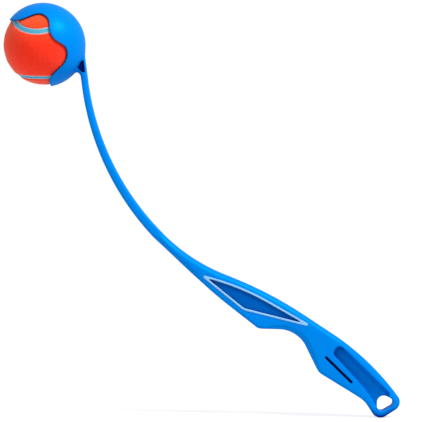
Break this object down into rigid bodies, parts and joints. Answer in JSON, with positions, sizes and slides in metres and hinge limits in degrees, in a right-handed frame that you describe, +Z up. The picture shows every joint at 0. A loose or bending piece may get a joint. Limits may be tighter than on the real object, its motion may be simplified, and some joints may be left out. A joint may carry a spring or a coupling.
{
  "type": "dog ball launcher stick",
  "caption": "Curved plastic throwing arm with a hand grip, a springy shaft and a lobed cup that snaps over a felt ball and lets it fly.",
  "frame": {"origin": "middle of the hand grip, on the launcher's mid-plane", "axes": "+X from the cup towards the tail, +Z up with the cup's closed side facing up and towards the tail, +Y away from the side seen in the picture, square to the launcher's mid-plane"},
  "size_m": [0.3192, 0.064, 0.3341],
  "materials": {
    "launcher_plastic": "satin",
    "badge_plastic": "satin",
    "ball_rubber": "matte",
    "ball_felt": "matte",
    "seam_rubber": "matte"
  },
  "bodies": {
    "handle": {"handle_grip": "launcher_plastic", "hang_loop": "launcher_plastic", "badge_plate_near": "badge_plastic", "badge_plate_far": "badge_plastic", "shaft_lower": "launcher_plastic"},
    "cup": {"shaft_upper": "launcher_plastic", "neck_fork": "launcher_plastic", "cup_bowl": "launcher_plastic"},
    "upper_claw": {"cup_claw_upper": "launcher_plastic"},
    "lower_claw": {"cup_claw_lower": "launcher_plastic"},
    "ball": {"ball_core_near": "ball_rubber", "ball_core_far": "ball_rubber", "ball_felt_front": "ball_felt", "ball_felt_back": "ball_felt", "ball_seam": "seam_rubber"}
  },
  "joints": [
    {"name": "shaft_flex", "type": "hinge", "parent": "handle", "child": "cup", "pos_m": [-0.13837, 0, 0.10822], "axis": [0, 1, 0], "range_deg": [-6, 10], "stiffness_Nm_per_rad": 4, "springref_deg": 0.69},
    {"name": "upper_claw_flex", "type": "hinge", "parent": "cup", "child": "upper_claw", "pos_m": [-0.19843, 0, 0.25951], "axis": [0, 1, 0], "range_deg": [0, 6], "stiffness_Nm_per_rad": 3},
    {"name": "lower_claw_flex", "type": "hinge", "parent": "cup", "child": "lower_claw", "pos_m": [-0.18112, 0, 0.2001], "axis": [0, -1, 0], "range_deg": [0, 3], "stiffness_Nm_per_rad": 3},
    {"name": "ball_release", "type": "slide", "parent": "cup", "child": "ball", "axis": [-0.8616, 0, -0.5075], "range_m": [0, 0.06], "deforming": ["cup_claw_upper", "cup_claw_lower"]}
  ]
}
